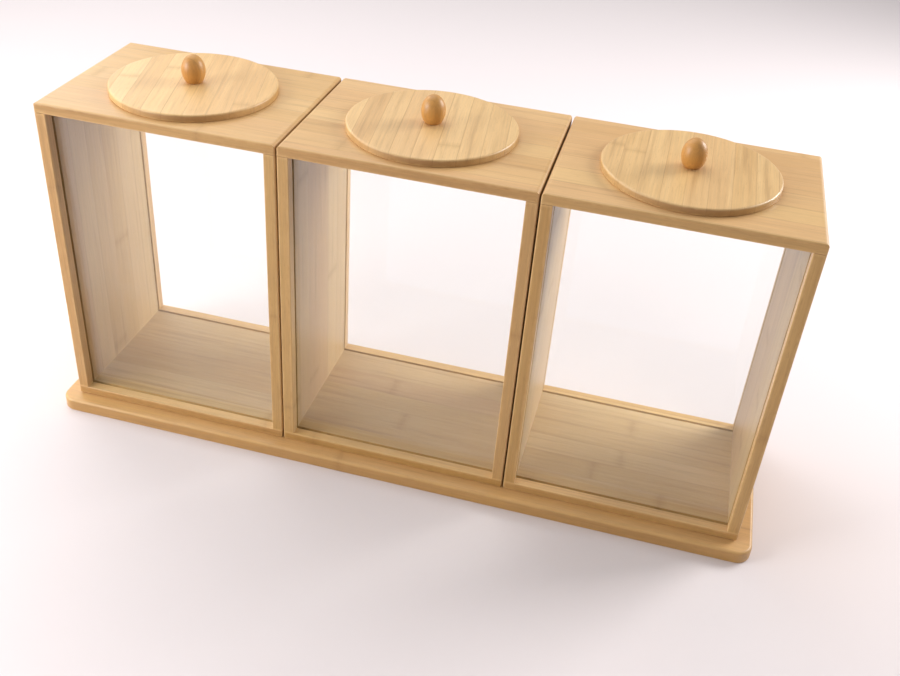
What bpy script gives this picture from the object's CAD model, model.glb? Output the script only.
"""Looks of a bamboo canister set: three canisters with clear panes and knobbed lids, on one tray."""

import math

import bmesh
import bpy
from bpy.props import FloatProperty, FloatVectorProperty, PointerProperty
from mathutils import Matrix, Vector


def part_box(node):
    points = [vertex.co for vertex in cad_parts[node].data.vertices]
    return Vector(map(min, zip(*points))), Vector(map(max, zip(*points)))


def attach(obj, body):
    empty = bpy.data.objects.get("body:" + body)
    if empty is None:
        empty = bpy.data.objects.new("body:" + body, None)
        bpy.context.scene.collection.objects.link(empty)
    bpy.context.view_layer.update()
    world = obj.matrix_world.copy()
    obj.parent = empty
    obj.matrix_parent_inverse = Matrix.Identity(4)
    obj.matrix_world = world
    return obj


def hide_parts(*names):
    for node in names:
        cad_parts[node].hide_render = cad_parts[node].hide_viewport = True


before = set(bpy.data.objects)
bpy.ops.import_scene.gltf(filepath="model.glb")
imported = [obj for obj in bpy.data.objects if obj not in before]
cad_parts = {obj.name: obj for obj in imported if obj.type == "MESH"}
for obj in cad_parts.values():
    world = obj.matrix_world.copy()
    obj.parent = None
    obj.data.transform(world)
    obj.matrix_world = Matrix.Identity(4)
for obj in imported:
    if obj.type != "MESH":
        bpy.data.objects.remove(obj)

bl_info = {
    "name": "Bamboo canister set",
    "version": (1, 0, 0),
    "blender": (4, 5, 0),
    "location": "3D View > Sidebar > Canisters",
    "description": "Finishes a row of bamboo canisters with panes, lids, knobs and a tray",
    "category": "Object",
}

NUMBERS = (1, 2, 3)
BOARDS = ("top_board", "floor_board", "left_board", "right_board")
# The point that the lamps look at
LIT_POINT = (0, 0, 0.1)
# The two ways the grain runs, as the turn that brings it onto a pattern's X axis
ALONG_ROW = (0, 0, 0)
UPRIGHT = (0, math.radians(-90), 0)
# Widths of the band that sanding and handling wear paler, on turned and on box-shaped pieces
WORN_RIM_W = 0.0016
WORN_EDGE_W = 0.0022
WORN_SHARE = 0.4
# From one knuckle of the bamboo to the next, along the grain
KNUCKLE_SPACING = 0.33
# How far the grain of each lid is turned, in degrees, and how much paler the first lid is
LID_TURNS = (104, 97, 90)
FIRST_LID_SHADE = 1.07
# Free space round the screw head in the plug, and the depth of its countersink
SINK_FREE = 0.00025
SINK_H = 0.0025
# Widths of the small chamfers on the seal groove and on the foot of the knob
GROOVE_EDGE_W = 0.0002
FOOT_EDGE_W = 0.0003
STEPS_A_TURN = 24
FLOOR_HALF_W = 4
SENSOR_W = 36


def length_property(name, description, default):
    return FloatProperty(
        name=name,
        description=description,
        default=default,
        min=0,
        unit="LENGTH",
        subtype="DISTANCE",
        precision=4,
    )


def angle_property(name, description, degrees):
    return FloatProperty(
        name=name, description=description, default=math.radians(degrees), unit="ROTATION", subtype="ANGLE"
    )


def share_property(name, description, default):
    return FloatProperty(
        name=name, description=description, default=default, min=0, max=1, subtype="FACTOR"
    )


def power_property(name, description, default):
    return FloatProperty(name=name, description=description, default=default, min=0)


def colour_property(name, description, default):
    return FloatVectorProperty(
        name=name, description=description, default=default, size=3, min=0, max=1, subtype="COLOR"
    )


class BambooFinish(bpy.types.PropertyGroup):
    """Colours and strips of the laminated bamboo"""

    pale: colour_property("Pale", "Bamboo at its lightest", (0.707, 0.455, 0.196))
    honey: colour_property("Honey", "The common tone of the strips", (0.609, 0.36, 0.135))
    rosy: colour_property("Rosy", "The pinkish tone of some strips", (0.628, 0.36, 0.172))
    streak: colour_property("Streak", "Dark streaks, knuckles and glue lines", (0.33, 0.165, 0.055))
    lid_pale: colour_property("Lid pale", "The lids at their lightest", (0.775, 0.522, 0.241))
    tray_pale: colour_property("Tray pale", "The tray at its lightest", (0.65, 0.385, 0.12))
    side_tint: colour_property("Side tint", "Tint of faces that show the strips' sides", (0.77, 0.71, 0.56))
    inner_tint: colour_property("Inner tint", "Tint of the bare faces inside", (0.76, 0.83, 0.98))
    strip_w: length_property("Strip width", "Width of one bamboo strip in the boards", 0.0175)
    lid_strip_w: length_property("Lid strip width", "Width of one bamboo strip in the lids", 0.0125)
    contrast: share_property("Contrast", "How much the strips differ in tone", 0.42)
    lid_contrast: share_property("Lid contrast", "How much the strips of the lids differ in tone", 0.2)
    end_grain: share_property("End grain", "How dark the cut ends of the strips are", 0.4)
    lid_end_grain: share_property("Lid end grain", "How dark the turned rims of the lids are", 0.8)
    streaks: share_property("Streaks", "Strength of the streaks", 0.45)


class LidShape(bpy.types.PropertyGroup):
    """Small sizes of the lid, its plug and its seal ring"""

    upper_edge_r: length_property("Upper rim", "Rounding of the disc's upper rim", 0.0012)
    lower_edge_r: length_property("Lower rim", "Rounding of the disc's lower rim", 0.0006)
    hole_r: length_property("Screw hole", "Radius of the hole for the screw", 0.002)
    plug_edge_r: length_property("Plug rim", "Rounding of the plug's lower rim", 0.001)
    groove_d: length_property("Groove depth", "Depth of the groove that holds the seal ring", 0.0015)
    seal_drop: length_property("Seal drop", "From the disc down to the seal ring", 0.0012)
    seal_h: length_property("Seal groove height", "Height of the groove that holds the seal ring", 0.004)
    seal_fit: length_property("Seal fit", "Free space between the seal ring and its groove", 0.00005)
    rib_r: length_property("Rib", "Radius of the seal ring's ribs", 0.0008)


class KnobShape(bpy.types.PropertyGroup):
    """Small sizes of the knob and its screw"""

    belly_z: length_property("Belly height", "Height at which the knob is widest", 0.0075)
    foot_r: length_property("Foot", "Radius of the knob's flat foot", 0.0045)
    hole_r: length_property("Screw hole", "Radius of the hole for the screw", 0.0018)
    hole_h: length_property("Screw hole height", "Height of the hole for the screw", 0.01)
    screw_r: length_property("Screw", "Outer radius of the screw's thread", 0.00175)
    core_r: length_property("Core", "Radius of the screw under its thread", 0.0012)
    head_h: length_property("Head", "Height of the countersunk head", 0.0022)
    pitch: length_property("Pitch", "From one turn of the thread to the next", 0.0014)
    wood: colour_property("Knob wood", "The common tone of the turned knobs", (0.49, 0.215, 0.045))
    wood_pale: colour_property("Knob wood, pale", "The light tone of the knobs", (0.61, 0.305, 0.075))
    steel: colour_property("Screw steel", "Zinc plated steel", (0.74, 0.74, 0.72))


class ClearParts(bpy.types.PropertyGroup):
    """Colours of the panes and the seal rings"""

    pane: colour_property("Pane", "Tint of the clear panes", (0.985, 0.995, 0.99))
    pane_edge_r: length_property("Pane edge", "Width of the ground edge of a pane", 0.0003)
    silicone: colour_property("Silicone", "Colour of the seal rings", (0.74, 0.75, 0.74))


class StageSetup(bpy.types.PropertyGroup):
    """Camera, floor and light"""

    camera_at: FloatVectorProperty(
        name="Camera",
        description="Place of the camera",
        default=(0.1374, -0.5577, 0.4722),
        size=3,
        unit="LENGTH",
    )
    heading: angle_property("Heading", "Turn of the view to the left of straight back", 11.77)
    slope: angle_property("Slope", "How far the view looks down", 34.72)
    roll: angle_property("Roll", "Turn of the camera about its line of sight", 4.85)
    lens: FloatProperty(name="Lens", description="Focal length in millimetres", default=41.78, min=10)
    floor: colour_property("Floor", "Colour of the pale floor", (0.776, 0.706, 0.71))
    sky: colour_property("Surroundings", "Colour of the light from all round", (1.0, 1.0, 1.0))
    sky_power: power_property("Surroundings' strength", "Light from all round", 0.38)
    key_power: power_property("Upper light", "Power of the light overhead", 10.8)
    left_power: power_property("Left light", "Power of the light at the left", 2.2)
    front_power: power_property("Front light", "Power at the left front", 4.9)
    rear_power: power_property("Rear light", "Power at the left back", 2.2)
    right_power: power_property("Right light", "Power at the right back", 10.6)


class Graph:
    """Short ways to add nodes to one shader tree"""

    def __init__(self, tree):
        self.tree = tree

    def feed(self, socket, value):
        if isinstance(value, bpy.types.NodeSocket):
            self.tree.links.new(value, socket)
        elif socket.type == "RGBA":
            socket.default_value = (*value, 1)[:4]
        else:
            socket.default_value = value

    def node(self, kind, *values, **settings):
        made = self.tree.nodes.new(kind)
        for name, setting in settings.items():
            setattr(made, name, setting)
        for socket, value in zip(made.inputs, values):
            self.feed(socket, value)
        return made

    def math(self, operation, *values, clamp=False):
        return self.node("ShaderNodeMath", *values, operation=operation, use_clamp=clamp).outputs[0]

    def vector(self, operation, *values):
        return self.node("ShaderNodeVectorMath", *values, operation=operation).outputs[0]

    def split(self, vector):
        return self.node("ShaderNodeSeparateXYZ", vector).outputs[:]

    def join(self, x, y, z):
        return self.node("ShaderNodeCombineXYZ", x, y, z).outputs[0]

    def placed(self, vector, kind="TEXTURE", at=(0, 0, 0), turn=(0, 0, 0)):
        mapping = self.node("ShaderNodeMapping", vector, vector_type=kind)
        mapping.inputs["Location"].default_value = at
        mapping.inputs["Rotation"].default_value = turn
        return mapping.outputs[0]

    def noise(self, vector, stretch, detail=2, roughness=0.5):
        stretched = self.vector("MULTIPLY", vector, stretch)
        made = self.node("ShaderNodeTexNoise")
        self.feed(made.inputs["Vector"], stretched)
        self.feed(made.inputs["Scale"], 1)
        self.feed(made.inputs["Detail"], detail)
        self.feed(made.inputs["Roughness"], roughness)
        return made.outputs[0]

    def fade(self, value, start, end, low=0, high=1):
        made = self.node(
            "ShaderNodeMapRange", value, start, end, low, high, interpolation_type="SMOOTHSTEP"
        )
        return made.outputs[0]

    def mix(self, share, first, second, blend="MIX"):
        made = self.node("ShaderNodeMix", data_type="RGBA", blend_type=blend)
        self.feed(made.inputs[0], share)
        self.feed(made.inputs[6], first)
        self.feed(made.inputs[7], second)
        return made.outputs[2]

    def shade(self, colour, amount):
        """The colour times a number"""
        return self.vector("MULTIPLY", colour, self.join(amount, amount, amount))


def new_group(name, inputs, outputs):
    """An empty node group with its sockets, as a graph, its input node and its output node."""
    tree = bpy.data.node_groups.new(name, "ShaderNodeTree")
    for label, kind in inputs.items():
        tree.interface.new_socket(label, in_out="INPUT", socket_type="NodeSocket" + kind)
    for label, kind in outputs.items():
        tree.interface.new_socket(label, in_out="OUTPUT", socket_type="NodeSocket" + kind)
    graph = Graph(tree)
    start = graph.node("NodeGroupInput")
    end = graph.node("NodeGroupOutput")
    return graph, start.outputs, end.inputs


def bamboo_group():
    """Bamboo strips glued side by side: the grain runs along X, the strips lie side by side along Y."""
    graph, given, result = new_group(
        "bamboo strips",
        {
            "Position": "Vector",
            "Facing": "Vector",
            "Seed": "Float",
            "Strip Width": "Float",
            "Pale": "Color",
            "Honey": "Color",
            "Rosy": "Color",
            "Streak": "Color",
            "Side Tint": "Color",
            "Contrast": "Float",
            "Streaks": "Float",
            "End Grain": "Float",
        },
        {"Color": "Color", "Roughness": "Float", "Height": "Float"},
    )
    width = given["Strip Width"]
    seed = given["Seed"]
    strength = given["Streaks"]
    along, across, _ = graph.split(given["Position"])

    strip = graph.math("ADD", graph.math("DIVIDE", across, width), graph.math("MULTIPLY", seed, 3.17))
    index = graph.math("FLOOR", strip)
    within = graph.math("FRACT", strip)
    own = graph.node("ShaderNodeTexWhiteNoise", graph.join(index, seed, 0), noise_dimensions="3D")
    tone = own.outputs["Value"]
    shift_x, shift_y, blush = graph.split(own.outputs["Color"])

    shift = graph.join(graph.math("MULTIPLY", shift_x, 2), shift_y, graph.math("MULTIPLY", seed, 0.31))
    fibre_at = graph.vector("ADD", given["Position"], shift)
    streaks = graph.noise(fibre_at, (8, 240, 190), 5, 0.6)
    fibres = graph.noise(fibre_at, (45, 1500, 1200), 3, 0.6)
    flecks = graph.fade(graph.noise(fibre_at, (170, 2400, 2000), 1), 0.62, 0.74)
    mottle = graph.noise(fibre_at, (16, 26, 26), 2)

    uneven = graph.math("MULTIPLY", graph.math("SUBTRACT", mottle, 0.5), 0.9)
    reach = graph.math("MULTIPLY", given["Contrast"], 2)
    spread = graph.math("MULTIPLY", graph.math("SUBTRACT", tone, 0.5), reach)
    pale_share = graph.math("ADD", graph.math("ADD", spread, uneven), 0.5, clamp=True)
    colour = graph.mix(pale_share, given["Honey"], given["Pale"])
    rosy_share = graph.math("MULTIPLY", graph.fade(blush, 0.4, 0.95), given["Contrast"])
    colour = graph.mix(rosy_share, colour, given["Rosy"])

    light = graph.math("MULTIPLY", graph.fade(streaks, 0.48, 0.3), strength)
    colour = graph.mix(light, colour, given["Pale"])
    dark = graph.math("MULTIPLY", graph.fade(streaks, 0.5, 0.78), strength)
    colour = graph.mix(dark, colour, given["Streak"])
    colour = graph.shade(colour, graph.fade(fibres, 0.3, 0.7, 0.93, 1.05))
    fleck_share = graph.math("MULTIPLY", flecks, graph.math("MULTIPLY", strength, 0.5))
    colour = graph.mix(fleck_share, colour, given["Streak"])

    along_share = graph.math("DIVIDE", along, KNUCKLE_SPACING)
    along_share = graph.math("ADD", along_share, graph.math("ADD", shift_y, shift_x))
    from_knuckle = graph.math("ABSOLUTE", graph.math("SUBTRACT", graph.math("FRACT", along_share), 0.5))
    wander = graph.math("SUBTRACT", graph.noise(fibre_at, (60, 320, 320), 2), 0.5)
    wander = graph.math("MULTIPLY", wander, 0.006)
    from_knuckle = graph.math("ADD", graph.math("MULTIPLY", from_knuckle, KNUCKLE_SPACING), wander)
    knuckle = graph.fade(from_knuckle, 0.006, 0.0005)
    ridge = graph.fade(from_knuckle, 0.0016, 0.0004)
    colour = graph.mix(graph.math("MULTIPLY", knuckle, 0.15), colour, given["Streak"])
    colour = graph.mix(graph.math("MULTIPLY", ridge, 0.13), colour, given["Streak"])

    from_seam = graph.math("MINIMUM", within, graph.math("SUBTRACT", 1, within))
    from_seam = graph.math("MULTIPLY", from_seam, width)
    seam = graph.fade(from_seam, 0.0004, 0.00008)
    seam_share = graph.math("MULTIPLY", seam, graph.fade(tone, 0, 1, 0.15, 0.5))
    colour = graph.mix(seam_share, colour, given["Streak"])

    facing = graph.split(given["Facing"])
    side_grain = graph.math("POWER", graph.math("ABSOLUTE", facing[1]), 4)
    colour = graph.mix(side_grain, colour, graph.vector("MULTIPLY", colour, given["Side Tint"]))
    facing_end = graph.math("ABSOLUTE", facing[0])
    end_grain = graph.math("POWER", facing_end, 4)
    colour = graph.mix(graph.math("MULTIPLY", end_grain, given["End Grain"]), colour, given["Streak"])
    graph.feed(result["Color"], colour)

    rough = graph.fade(fibres, 0.2, 0.8, 0.36, 0.5)
    rough = graph.math("ADD", rough, graph.math("MULTIPLY", end_grain, 0.15))
    graph.feed(result["Roughness"], graph.math("ADD", rough, graph.math("MULTIPLY", knuckle, 0.05)))

    height = graph.math("ADD", graph.math("MULTIPLY", fibres, 0.5), graph.math("MULTIPLY", streaks, 0.5))
    height = graph.math("SUBTRACT", height, graph.math("MULTIPLY", flecks, 0.3))
    height = graph.math("SUBTRACT", height, graph.math("MULTIPLY", seam, 0.8))
    graph.feed(result["Height"], graph.math("ADD", height, graph.math("MULTIPLY", ridge, 0.5)))
    return graph.tree


def edge_group():
    """How close a point of a box-shaped board is to its edges, broken up as by sanding and handling."""
    graph, given, result = new_group(
        "sanded edges", {"Position": "Vector", "Half Size": "Vector", "Width": "Float"}, {"Edge": "Float"}
    )
    gap = graph.vector("SUBTRACT", given["Half Size"], graph.vector("ABSOLUTE", given["Position"]))
    x, y, z = graph.split(gap)
    lower = graph.math("MINIMUM", x, y)
    upper = graph.math("MINIMUM", graph.math("MAXIMUM", x, y), z)
    distance = graph.math("MAXIMUM", lower, upper)
    broken = graph.noise(given["Position"], (90, 90, 90), 3, 0.65)
    reach = graph.math("MULTIPLY", given["Width"], graph.fade(broken, 0.3, 0.7, 0.4, 1.3))
    graph.feed(result["Edge"], graph.fade(graph.math("DIVIDE", distance, reach), 1, 0))
    return graph.tree


def rim_group():
    """How close a point of a turned piece is to the piece's rims, broken up as by sanding and handling."""
    graph, given, result = new_group(
        "sanded rims",
        {"Position": "Vector", "Radius": "Float", "Half Height": "Float", "Width": "Float"},
        {"Edge": "Float"},
    )
    x, y, z = graph.split(given["Position"])
    squares = graph.math("ADD", graph.math("MULTIPLY", x, x), graph.math("MULTIPLY", y, y))
    from_axis = graph.math("SQRT", squares)
    side_gap = graph.math("SUBTRACT", given["Radius"], from_axis)
    end_gap = graph.math("SUBTRACT", given["Half Height"], graph.math("ABSOLUTE", z))
    distance = graph.math("MAXIMUM", side_gap, end_gap)
    broken = graph.noise(given["Position"], (120, 120, 120), 3, 0.65)
    reach = graph.math("MULTIPLY", given["Width"], graph.fade(broken, 0.3, 0.7, 0.4, 1.3))
    graph.feed(result["Edge"], graph.fade(graph.math("DIVIDE", distance, reach), 1, 0))
    return graph.tree


def shared_group(name, build):
    return bpy.data.node_groups.get(name) or build()


def use_group(graph, tree, values):
    made = graph.node("ShaderNodeGroup", node_tree=tree)
    for label, value in values.items():
        graph.feed(made.inputs[label], value)
    return made.outputs


def new_material(name):
    """A new material, with its graph, its Principled shader node and its output node."""
    material = bpy.data.materials.new(name)
    material.use_nodes = True
    material.node_tree.nodes.clear()
    graph = Graph(material.node_tree)
    shader = graph.node("ShaderNodeBsdfPrincipled")
    output = graph.node("ShaderNodeOutputMaterial")
    graph.feed(output.inputs["Surface"], shader.outputs[0])
    return material, graph, shader, output


def add_bump(graph, shader, height, distance, strength=1):
    bump = graph.node("ShaderNodeBump")
    bump.inputs["Strength"].default_value = strength
    bump.inputs["Distance"].default_value = distance
    graph.feed(bump.inputs["Height"], height)
    graph.feed(shader.inputs["Normal"], bump.outputs[0])


def bamboo_material(name, node, turn, seed, strip_w, pale, round_piece=False, shade=1.0, inner=None):
    """Lacquered bamboo for the piece that the CAD node stands for, with its grain turned by turn.

    inner is the direction that the bare face inside the canister looks in, and shade makes all
    lighter or darker.
    """
    finish = bpy.context.scene.bamboo_finish
    low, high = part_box(node)
    centre = (low + high) / 2
    half = (high - low) / 2
    material, graph, shader, _ = new_material(name)
    coordinates = graph.node("ShaderNodeTexCoord")
    centred = graph.placed(coordinates.outputs["Object"], at=centre)
    bamboo = use_group(
        graph,
        shared_group("bamboo strips", bamboo_group),
        {
            "Position": graph.placed(centred, turn=turn),
            "Facing": graph.placed(coordinates.outputs["Normal"], turn=turn),
            "Seed": seed,
            "Strip Width": strip_w,
            "Pale": [part * shade for part in pale],
            "Honey": [part * shade for part in finish.honey],
            "Rosy": [part * shade for part in finish.rosy],
            "Streak": finish.streak,
            "Side Tint": finish.side_tint,
            "Contrast": finish.lid_contrast if round_piece else finish.contrast,
            "Streaks": finish.streaks,
            "End Grain": finish.lid_end_grain if round_piece else finish.end_grain,
        },
    )
    if round_piece:
        rims = {"Position": centred, "Radius": half.x, "Half Height": half.z, "Width": WORN_RIM_W}
        edge = use_group(graph, shared_group("sanded rims", rim_group), rims)["Edge"]
    else:
        edges = {"Position": centred, "Half Size": half, "Width": WORN_EDGE_W}
        edge = use_group(graph, shared_group("sanded edges", edge_group), edges)["Edge"]
    colour = graph.mix(graph.math("MULTIPLY", edge, WORN_SHARE), bamboo["Color"], pale)
    if inner:
        normal = coordinates.outputs["Normal"]
        toward = graph.node("ShaderNodeVectorMath", normal, inner, operation="DOT_PRODUCT")
        pane_y = -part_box(node.rsplit("_", 2)[0] + "_front_pane")[1].y
        depth = graph.math("ABSOLUTE", graph.split(coordinates.outputs["Object"])[1])
        between = graph.math("LESS_THAN", depth, pane_y)
        bare = graph.math("MULTIPLY", graph.fade(toward.outputs["Value"], 0.6, 0.95), between)
        colour = graph.mix(bare, colour, graph.vector("MULTIPLY", colour, finish.inner_tint))
    graph.feed(shader.inputs["Base Color"], colour)
    rough = graph.math("SUBTRACT", bamboo["Roughness"], graph.math("MULTIPLY", edge, 0.06))
    graph.feed(shader.inputs["Roughness"], rough)
    shader.inputs["Coat Weight"].default_value = 0.18
    shader.inputs["Coat Roughness"].default_value = 0.32
    add_bump(graph, shader, bamboo["Height"], 0.00012, 0.5)
    return material


def set_material(piece, material):
    piece.data.materials.clear()
    piece.data.materials.append(material)


def turned_shell(section, closed=True, steps=128):
    """A shape turned about the Z axis from the corners of its section, each a radius and a height."""
    shell = bmesh.new()
    corners = [shell.verts.new((radius, 0, height)) for radius, height in section]
    follow = corners[1:] + corners[:1] if closed else corners[1:]
    edges = [shell.edges.new(pair) for pair in zip(corners, follow)]
    bmesh.ops.spin(
        shell,
        geom=corners + edges,
        cent=(0, 0, 0),
        axis=(0, 0, 1),
        angle=math.tau,
        steps=steps,
        use_merge=True,
        use_duplicate=False,
    )
    return shell


def merge(shell):
    """Joins what touches and points the faces outwards."""
    bmesh.ops.remove_doubles(shell, verts=shell.verts, dist=1e-6)
    bmesh.ops.recalc_face_normals(shell, faces=shell.faces)


def ring(shell, radius, height):
    """The edges that run round the axis at one radius and height."""
    def there(vert):
        return abs(vert.co.z - height) < 1e-6 and abs(math.hypot(vert.co.x, vert.co.y) - radius) < 1e-6

    return [edge for edge in shell.edges if all(there(vert) for vert in edge.verts)]


def bevel(shell, edges, width, segments):
    bmesh.ops.bevel(
        shell,
        geom=edges,
        offset=width,
        offset_type="OFFSET",
        segments=segments,
        profile=0.5,
        affect="EDGES",
        clamp_overlap=True,
        material=-1,
    )


def finish_piece(shell, node, at, material, body, sharp=30):
    """Makes the shell an object at its place, in place of the CAD node."""
    name = node + "_shape"
    bmesh.ops.translate(shell, verts=shell.verts, vec=at)
    mesh = bpy.data.meshes.new(name)
    shell.to_mesh(mesh)
    shell.free()
    mesh.shade_smooth()
    mesh.set_sharp_from_angle(angle=math.radians(sharp))
    piece = bpy.data.objects.new(name, mesh)
    bpy.context.scene.collection.objects.link(piece)
    set_material(piece, material)
    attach(piece, body)
    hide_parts(node)
    return piece


class CANISTERS_OT_boards(bpy.types.Operator):
    """Gives the boards of the canisters and the tray their bamboo"""

    bl_idname = "canisters.boards"
    bl_label = "Boards and tray"

    def execute(self, context):
        finish = context.scene.bamboo_finish
        turns = (ALONG_ROW, ALONG_ROW, UPRIGHT, UPRIGHT)
        inner = ((0, 0, -1), (0, 0, 1), (1, 0, 0), (-1, 0, 0))
        for number in NUMBERS:
            for place, board in enumerate(BOARDS):
                name = f"canister_{number}_{board}"
                seed = number * 1.7 + place * 5.3
                material = bamboo_material(
                    name, name, turns[place], seed, finish.strip_w, finish.pale, inner=inner[place]
                )
                set_material(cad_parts[name], material)
        material = bamboo_material("tray", "tray", ALONG_ROW, 9.1, finish.strip_w, finish.tray_pale)
        set_material(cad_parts["tray"], material)
        return {"FINISHED"}


class CANISTERS_OT_panes(bpy.types.Operator):
    """Makes the clear panes, with a narrow ground edge"""

    bl_idname = "canisters.panes"
    bl_label = "Panes"

    def execute(self, context):
        clear = context.scene.clear_parts
        material = pane_material(clear.pane)
        for number in NUMBERS:
            for side in ("front", "back"):
                node = f"canister_{number}_{side}_pane"
                low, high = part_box(node)
                pane = bmesh.new()
                bmesh.ops.create_cube(pane, size=1)
                bmesh.ops.scale(pane, verts=pane.verts, vec=high - low)
                bevel(pane, pane.edges[:], clear.pane_edge_r, 1)
                at = (low + high) / 2
                finish_piece(pane, node, at, material, f"canister_{number}", sharp=10)
        return {"FINISHED"}


def pane_material(tint):
    """Clear sheet with a hint of haze, which lets the lamps' light through."""
    material, graph, shader, output = new_material("clear pane")
    shader.inputs["Base Color"].default_value = (*tint, 1)
    shader.inputs["Transmission Weight"].default_value = 1
    shader.inputs["IOR"].default_value = 1.49
    shader.inputs["Specular IOR Level"].default_value = 0.7
    coordinates = graph.node("ShaderNodeTexCoord")
    haze = graph.noise(coordinates.outputs["Object"], (9, 9, 14), 4, 0.6)
    graph.feed(shader.inputs["Roughness"], graph.fade(haze, 0.35, 0.8, 0.0, 0.03))
    wave = graph.noise(coordinates.outputs["Object"], (18, 18, 18), 1)
    add_bump(graph, shader, wave, 0.0002, 0.15)
    path = graph.node("ShaderNodeLightPath")
    through = graph.node("ShaderNodeBsdfTransparent", (0.95, 0.955, 0.95))
    in_shadow = path.outputs["Is Shadow Ray"]
    both = graph.node("ShaderNodeMixShader", in_shadow, shader.outputs[0], through.outputs[0])
    graph.feed(output.inputs["Surface"], both.outputs[0])
    return material


class CANISTERS_OT_lids(bpy.types.Operator):
    """Makes the discs of the lids and the plugs under them"""

    bl_idname = "canisters.lids"
    bl_label = "Lids and plugs"

    def execute(self, context):
        finish = context.scene.bamboo_finish
        shape = context.scene.lid_shape
        for number, turn in zip(NUMBERS, LID_TURNS):
            grain = (0, 0, math.radians(turn))
            node = f"canister_{number}_lid_disc"
            shade = FIRST_LID_SHADE if number == 1 else 1.0
            material = bamboo_material(
                node, node, grain, number * 2.3, finish.lid_strip_w, finish.lid_pale, True, shade
            )
            low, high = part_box(node)
            at = Vector(((low.x + high.x) / 2, (low.y + high.y) / 2, low.z))
            disc = lid_disc_shell((high.x - low.x) / 2, high.z - low.z, shape)
            finish_piece(disc, node, at, material, f"lid_{number}")

            node = f"canister_{number}_lid_plug"
            material = bamboo_material(
                node, node, grain, number * 4.1, finish.lid_strip_w, finish.honey, True
            )
            low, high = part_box(node)
            at = Vector(((low.x + high.x) / 2, (low.y + high.y) / 2, low.z))
            screw_low, screw_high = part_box(f"canister_{number}_knob_screw")
            head_r = (screw_high.x - screw_low.x) / 2
            plug = lid_plug_shell((high.x - low.x) / 2, high.z - low.z, head_r, shape)
            finish_piece(plug, node, at, material, f"lid_{number}")
        return {"FINISHED"}


def lid_disc_shell(radius, height, shape):
    """The disc, with a rounded rim and a hole for the screw."""
    inner = radius - 2 * shape.upper_edge_r
    section = [
        (shape.hole_r, 0),
        (inner, 0),
        (radius, 0),
        (radius, height),
        (inner, height),
        (shape.hole_r, height),
    ]
    disc = turned_shell(section)
    merge(disc)
    bevel(disc, ring(disc, radius, height), shape.upper_edge_r, 6)
    bevel(disc, ring(disc, radius, 0), shape.lower_edge_r, 4)
    return disc


def lid_plug_shell(radius, height, head_r, shape):
    """The plug, with the seal ring's groove, a countersink and a rounded lower rim."""
    groove_top = height - shape.seal_drop
    groove_low = groove_top - shape.seal_h
    groove_r = radius - shape.groove_d
    sink_r = head_r + SINK_FREE
    section = [
        (sink_r, 0),
        (radius - 2 * shape.plug_edge_r, 0),
        (radius, 0),
        (radius, groove_low),
        (groove_r, groove_low),
        (groove_r, groove_top),
        (radius, groove_top),
        (radius, height),
        (shape.hole_r, height),
        (shape.hole_r, SINK_H),
    ]
    plug = turned_shell(section)
    merge(plug)
    bevel(plug, ring(plug, radius, 0), shape.plug_edge_r, 5)
    for z in (groove_low, groove_top):
        bevel(plug, ring(plug, radius, z), GROOVE_EDGE_W, 2)
    return plug


class CANISTERS_OT_seals(bpy.types.Operator):
    """Makes the ribbed seal rings round the plugs"""

    bl_idname = "canisters.seals"
    bl_label = "Seal rings"

    def execute(self, context):
        shape = context.scene.lid_shape
        material = silicone_material(context.scene.clear_parts.silicone)
        for number in NUMBERS:
            node = f"canister_{number}_lid_seal"
            low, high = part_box(node)
            plug_low, plug_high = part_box(f"canister_{number}_lid_plug")
            outer = (high.x - low.x) / 2
            inner = (plug_high.x - plug_low.x) / 2 - shape.groove_d + shape.seal_fit
            height = high.z - low.z
            rib = shape.rib_r
            web_r = outer - rib
            section = [
                (inner, 0),
                (outer, 0),
                (outer, 2 * rib),
                (web_r, 2 * rib),
                (web_r, height - 2 * rib),
                (outer, height - 2 * rib),
                (outer, height),
                (inner, height),
            ]
            seal = turned_shell(section)
            merge(seal)
            for z in (0, 2 * rib, height - 2 * rib, height):
                bevel(seal, ring(seal, outer, z), rib * 0.98, 5)
            at = Vector(((low.x + high.x) / 2, (low.y + high.y) / 2, low.z))
            finish_piece(seal, node, at, material, f"lid_{number}")
        return {"FINISHED"}


def silicone_material(colour):
    """Cloudy silicone rubber with a fine skin and a little dust."""
    material, graph, shader, _ = new_material("silicone")
    at = graph.node("ShaderNodeTexCoord").outputs["Object"]
    cloud = graph.noise(at, (120, 120, 220), 3)
    dust = graph.fade(graph.noise(at, (900, 900, 900), 4, 0.7), 0.55, 0.75)
    tone = graph.shade(colour, graph.fade(cloud, 0.3, 0.7, 0.92, 1.04))
    dusty = graph.mix(graph.math("MULTIPLY", dust, 0.25), tone, (0.6, 0.56, 0.5))
    graph.feed(shader.inputs["Base Color"], dusty)
    graph.feed(shader.inputs["Roughness"], graph.fade(dust, 0, 1, 0.38, 0.62))
    shader.inputs["Subsurface Weight"].default_value = 0.15
    shader.inputs["Subsurface Scale"].default_value = 0.002
    add_bump(graph, shader, graph.noise(at, (2200, 2200, 2200), 2), 0.00005, 0.4)
    return material


class CANISTERS_OT_knobs(bpy.types.Operator):
    """Turns the egg-shaped knobs"""

    bl_idname = "canisters.knobs"
    bl_label = "Knobs"

    def execute(self, context):
        shape = context.scene.knob_shape
        for number in NUMBERS:
            node = f"canister_{number}_knob"
            low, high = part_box(node)
            material = knob_material(node, number)
            knob = knob_shell((high.x - low.x) / 2, high.z - low.z, shape)
            at = Vector(((low.x + high.x) / 2, (low.y + high.y) / 2, low.z))
            finish_piece(knob, node, at, material, f"lid_{number}", sharp=40)
        return {"FINISHED"}


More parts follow.
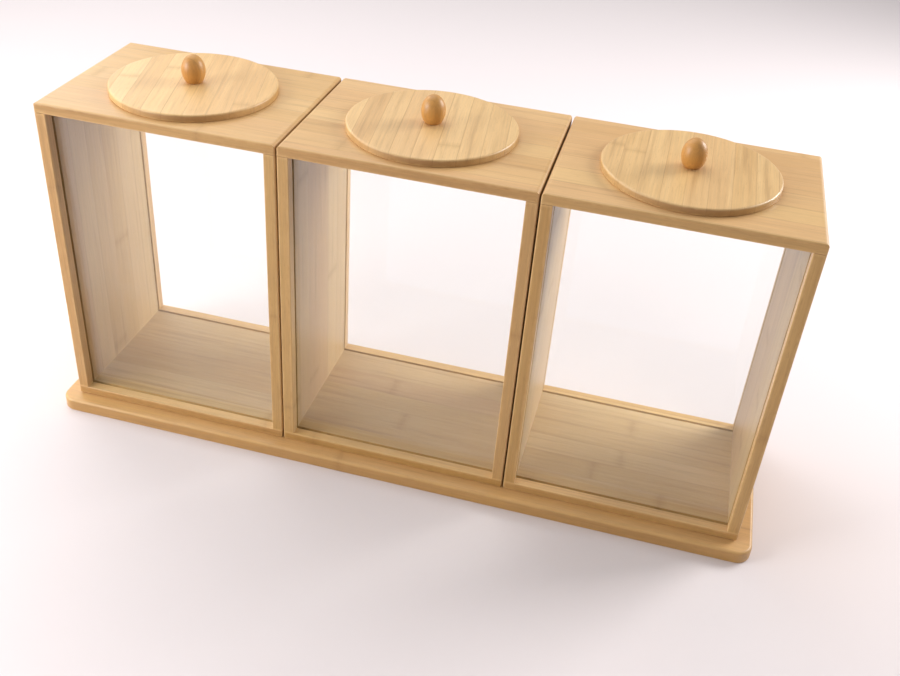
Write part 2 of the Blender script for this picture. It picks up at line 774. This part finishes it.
def knob_shell(radius, height, shape):
    """An egg with its belly at belly_z, cut flat at its foot, with a hole for the screw."""
    foot_share = shape.foot_r / radius
    under = shape.belly_z / math.sqrt(1 - foot_share * foot_share)
    over = height - shape.belly_z
    knob = bmesh.new()
    bmesh.ops.create_uvsphere(knob, u_segments=64, v_segments=48, radius=1)
    upper = [vert for vert in knob.verts if vert.co.z > 0]
    lower = [vert for vert in knob.verts if vert.co.z <= 0]
    bmesh.ops.scale(knob, verts=upper, vec=(radius, radius, over))
    bmesh.ops.scale(knob, verts=lower, vec=(radius, radius, under))
    bmesh.ops.translate(knob, verts=knob.verts, vec=(0, 0, shape.belly_z))
    cut = bmesh.ops.bisect_plane(
        knob,
        geom=knob.verts[:] + knob.edges[:] + knob.faces[:],
        plane_co=(0, 0, 0),
        plane_no=(0, 0, -1),
        clear_outer=True,
    )
    loop = [item for item in cut["geom_cut"] if isinstance(item, bmesh.types.BMEdge)]
    foot_edges = loop
    share = shape.hole_r / shape.foot_r
    loop = extrude_loop(knob, loop, scale=(share, share, 1))
    loop = extrude_loop(knob, loop, move=(0, 0, shape.hole_h))
    bmesh.ops.edgeloop_fill(knob, edges=loop)
    bevel(knob, foot_edges, FOOT_EDGE_W, 2)
    merge(knob)
    return knob


def extrude_loop(shell, edges, scale=(1, 1, 1), move=(0, 0, 0)):
    """Extrudes an open rim, changes its size and moves it, and returns the new rim."""
    made = bmesh.ops.extrude_edge_only(shell, edges=edges)["geom"]
    verts = [item for item in made if isinstance(item, bmesh.types.BMVert)]
    bmesh.ops.scale(shell, verts=verts, vec=scale)
    bmesh.ops.translate(shell, verts=verts, vec=move)
    edges = [item for item in made if isinstance(item, bmesh.types.BMEdge)]
    return [edge for edge in edges if all(vert in verts for vert in edge.verts)]


def knob_material(name, number):
    """Turned caramel-coloured wood, its grain upright, with fine rings left by the turning tool."""
    finish = bpy.context.scene.bamboo_finish
    shape = bpy.context.scene.knob_shape
    low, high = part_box(name)
    material, graph, shader, _ = new_material(name)
    coordinates = graph.node("ShaderNodeTexCoord")
    centred = graph.placed(coordinates.outputs["Object"], at=(low + high) / 2)
    bamboo = use_group(
        graph,
        shared_group("bamboo strips", bamboo_group),
        {
            "Position": graph.placed(centred, turn=UPRIGHT),
            "Facing": graph.placed(coordinates.outputs["Normal"], turn=UPRIGHT),
            "Seed": number * 1.37,
            "Strip Width": 0.011,
            "Pale": shape.wood_pale,
            "Honey": shape.wood,
            "Rosy": shape.wood,
            "Streak": finish.streak,
            "Side Tint": (1, 1, 1),
            "Contrast": 0.3,
            "Streaks": 0.5,
            "End Grain": 0.2,
        },
    )
    graph.feed(shader.inputs["Base Color"], bamboo["Color"])
    graph.feed(shader.inputs["Roughness"], bamboo["Roughness"])
    shader.inputs["Coat Weight"].default_value = 0.12
    shader.inputs["Coat Roughness"].default_value = 0.25
    rings = graph.noise(centred, (8, 8, 2600), 2)
    add_bump(graph, shader, graph.math("ADD", bamboo["Height"], rings), 0.00005, 0.5)
    return material


class CANISTERS_OT_screws(bpy.types.Operator):
    """Makes the screws that hold the knobs"""

    bl_idname = "canisters.screws"
    bl_label = "Screws"

    def execute(self, context):
        shape = context.scene.knob_shape
        material = steel_material(shape.steel)
        for number in NUMBERS:
            node = f"canister_{number}_knob_screw"
            low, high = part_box(node)
            screw = screw_shell((high.x - low.x) / 2, high.z - low.z, shape)
            at = Vector(((low.x + high.x) / 2, (low.y + high.y) / 2, low.z))
            finish_piece(screw, node, at, material, f"lid_{number}")
        return {"FINISHED"}


def screw_shell(head_r, height, shape):
    """A countersunk wood screw, head down, with a cross recess and a thread."""
    grip = shape.hole_h
    tip_h = 2 * shape.core_r
    thread_z = height - grip - shape.pitch
    section = [
        (0, 0),
        (head_r * 0.6, 0),
        (head_r, 0),
        (head_r, 0.00015),
        (shape.screw_r, shape.head_h),
        (shape.screw_r, thread_z),
        (shape.core_r, thread_z + shape.pitch / 2),
        (shape.core_r, height - tip_h),
        (0, height),
    ]
    screw = turned_shell(section, closed=False, steps=48)
    merge(screw)
    cut_cross(screw, head_r * 0.55, head_r * 0.125, shape.head_h / 2)
    ridge = bmesh.ops.create_circle(screw, segments=3, radius=1)["verts"]
    half = shape.pitch * 0.28
    depth = shape.screw_r - shape.core_r
    corners = ((shape.core_r * 0.96, -half), (shape.core_r * 0.96, half), (shape.core_r + depth, 0))
    for vert, (radius, z) in zip(ridge, corners):
        vert.co = (radius, 0, thread_z + z)
    edges = list({edge for vert in ridge for edge in vert.link_edges})
    turns = (height - tip_h - thread_z) / shape.pitch
    steps = round(turns * STEPS_A_TURN)
    bmesh.ops.contextual_create(screw, geom=ridge)
    made = bmesh.ops.spin(
        screw,
        geom=ridge + edges,
        cent=(0, 0, 0),
        axis=(0, 0, 1),
        dvec=(0, 0, shape.pitch / STEPS_A_TURN),
        angle=math.tau * steps / STEPS_A_TURN,
        steps=steps,
    )["geom_last"]
    last = [item for item in made if isinstance(item, bmesh.types.BMVert)]
    bmesh.ops.contextual_create(screw, geom=last)
    bmesh.ops.recalc_face_normals(screw, faces=screw.faces)
    return screw


def cut_cross(shell, reach, half_w, depth):
    """Sinks a cross into the flat face at z = 0."""
    for axis in range(2):
        for distance in (-reach, -half_w, half_w, reach):
            normal = Vector((0, 0, 0))
            normal[axis] = 1
            flat = [face for face in shell.faces if all(abs(vert.co.z) < 1e-7 for vert in face.verts)]
            geometry = {item for face in flat for item in (face, *face.edges, *face.verts)}
            bmesh.ops.bisect_plane(shell, geom=list(geometry), plane_co=normal * distance, plane_no=normal)
    inside = []
    for face in shell.faces:
        if any(abs(vert.co.z) > 1e-7 for vert in face.verts):
            continue
        middle = face.calc_center_median()
        near, far = sorted((abs(middle.x), abs(middle.y)))
        if near < half_w and far < reach:
            inside.append(face)
    made = bmesh.ops.extrude_face_region(shell, geom=inside)["geom"]
    bmesh.ops.delete(shell, geom=inside, context="FACES_ONLY")
    verts = [item for item in made if isinstance(item, bmesh.types.BMVert)]
    bmesh.ops.scale(shell, verts=verts, vec=(0.7, 0.7, 1))
    bmesh.ops.translate(shell, verts=verts, vec=(0, 0, depth))


def steel_material(colour):
    """Zinc plated steel with fine scratches."""
    material, graph, shader, _ = new_material("zinc plated steel")
    at = graph.node("ShaderNodeTexCoord").outputs["Object"]
    cloud = graph.noise(at, (600, 600, 600), 3)
    scratch = graph.noise(at, (900, 900, 9000), 2)
    graph.feed(shader.inputs["Base Color"], graph.shade(colour, graph.fade(cloud, 0.3, 0.7, 0.85, 1)))
    graph.feed(shader.inputs["Roughness"], graph.fade(scratch, 0.3, 0.7, 0.22, 0.42))
    shader.inputs["Metallic"].default_value = 1
    add_bump(graph, shader, scratch, 0.00002, 0.5)
    return material


class CANISTERS_OT_stage(bpy.types.Operator):
    """Sets up the pale floor, the soft light and the camera"""

    bl_idname = "canisters.stage"
    bl_label = "Stage"

    def execute(self, context):
        setup = context.scene.stage_setup
        scene = context.scene
        mesh = bpy.data.meshes.new("floor")
        sheet = bmesh.new()
        bmesh.ops.create_grid(sheet, x_segments=8, y_segments=8, size=FLOOR_HALF_W)
        sheet.to_mesh(mesh)
        sheet.free()
        floor = bpy.data.objects.new("floor", mesh)
        scene.collection.objects.link(floor)
        set_material(floor, floor_material(setup.floor))

        world = bpy.data.worlds.new("surroundings")
        world.use_nodes = True
        background = world.node_tree.nodes["Background"]
        background.inputs["Color"].default_value = (*setup.sky, 1)
        background.inputs["Strength"].default_value = setup.sky_power
        scene.world = world

        add_lamp("upper light", (-0.45, 0.55, 1.35), 1.3, setup.key_power)
        add_lamp("left light", (-0.85, -0.1, 0.45), 0.5, setup.left_power)
        add_lamp("front light", (-0.7, -0.5, 0.4), 0.4, setup.front_power)
        add_lamp("rear light", (-0.9, 0.7, 0.7), 0.6, setup.rear_power)
        add_lamp("right light", (0.9, 0.6, 0.6), 0.5, setup.right_power)

        data = bpy.data.cameras.new("camera")
        data.lens = setup.lens
        data.sensor_width = SENSOR_W
        data.sensor_fit = "HORIZONTAL"
        camera = bpy.data.objects.new("camera", data)
        scene.collection.objects.link(camera)
        heading = Matrix.Rotation(setup.heading, 4, "Z")
        slope = Matrix.Rotation(math.radians(90) - setup.slope, 4, "X")
        roll = Matrix.Rotation(setup.roll, 4, "Z")
        camera.matrix_world = Matrix.Translation(setup.camera_at) @ heading @ slope @ roll
        scene.camera = camera
        scene.view_settings.view_transform = "Standard"
        scene.view_settings.look = "None"
        return {"FINISHED"}


def floor_material(colour):
    """Matt pale paper with faint unevenness."""
    material, graph, shader, _ = new_material("pale floor")
    at = graph.node("ShaderNodeTexCoord").outputs["Object"]
    cloud = graph.noise(at, (1.2, 1.2, 1.2), 2)
    tone = graph.shade(colour, graph.fade(cloud, 0.2, 0.8, 0.985, 1.015))
    graph.feed(shader.inputs["Base Color"], tone)
    shader.inputs["Roughness"].default_value = 0.75
    return material


def add_lamp(name, at, size, power):
    """A square soft light that looks at the middle of the row."""
    data = bpy.data.lights.new(name, "AREA")
    data.shape = "SQUARE"
    data.size = size
    data.energy = power
    lamp = bpy.data.objects.new(name, data)
    lamp.location = at
    lamp.rotation_euler = (Vector(LIT_POINT) - Vector(at)).to_track_quat("-Z", "Y").to_euler()
    bpy.context.scene.collection.objects.link(lamp)


class CANISTERS_PT_sidebar(bpy.types.Panel):
    """Lists the steps that finish the canister set"""

    bl_idname = "CANISTERS_PT_sidebar"
    bl_label = "Canister set"
    bl_space_type = "VIEW_3D"
    bl_region_type = "UI"
    bl_category = "Canisters"

    def draw(self, context):
        for group, operators in SIDEBAR.items():
            box = self.layout.box()
            settings = getattr(context.scene, group)
            for name in settings.bl_rna.properties.keys():
                if name not in ("rna_type", "name"):
                    box.prop(settings, name)
            for operator in operators:
                box.operator(operator)


SIDEBAR = {
    "bamboo_finish": ["canisters.boards"],
    "clear_parts": ["canisters.panes"],
    "lid_shape": ["canisters.lids", "canisters.seals"],
    "knob_shape": ["canisters.knobs", "canisters.screws"],
    "stage_setup": ["canisters.stage"],
}
SETTINGS = {
    "bamboo_finish": BambooFinish,
    "lid_shape": LidShape,
    "knob_shape": KnobShape,
    "clear_parts": ClearParts,
    "stage_setup": StageSetup,
}
OPERATORS = (
    CANISTERS_OT_boards,
    CANISTERS_OT_panes,
    CANISTERS_OT_lids,
    CANISTERS_OT_seals,
    CANISTERS_OT_knobs,
    CANISTERS_OT_screws,
    CANISTERS_OT_stage,
)


def register():
    for name, group in SETTINGS.items():
        bpy.utils.register_class(group)
        setattr(bpy.types.Scene, name, PointerProperty(type=group))
    for operator in OPERATORS:
        bpy.utils.register_class(operator)
    bpy.utils.register_class(CANISTERS_PT_sidebar)


def unregister():
    bpy.utils.unregister_class(CANISTERS_PT_sidebar)
    for operator in reversed(OPERATORS):
        bpy.utils.unregister_class(operator)
    for name, group in SETTINGS.items():
        delattr(bpy.types.Scene, name)
        bpy.utils.unregister_class(group)


def main():
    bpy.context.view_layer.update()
    register()
    bpy.ops.canisters.boards()
    bpy.ops.canisters.panes()
    bpy.ops.canisters.lids()
    bpy.ops.canisters.seals()
    bpy.ops.canisters.knobs()
    bpy.ops.canisters.screws()
    bpy.ops.canisters.stage()


if __name__ == "__main__":
    main()
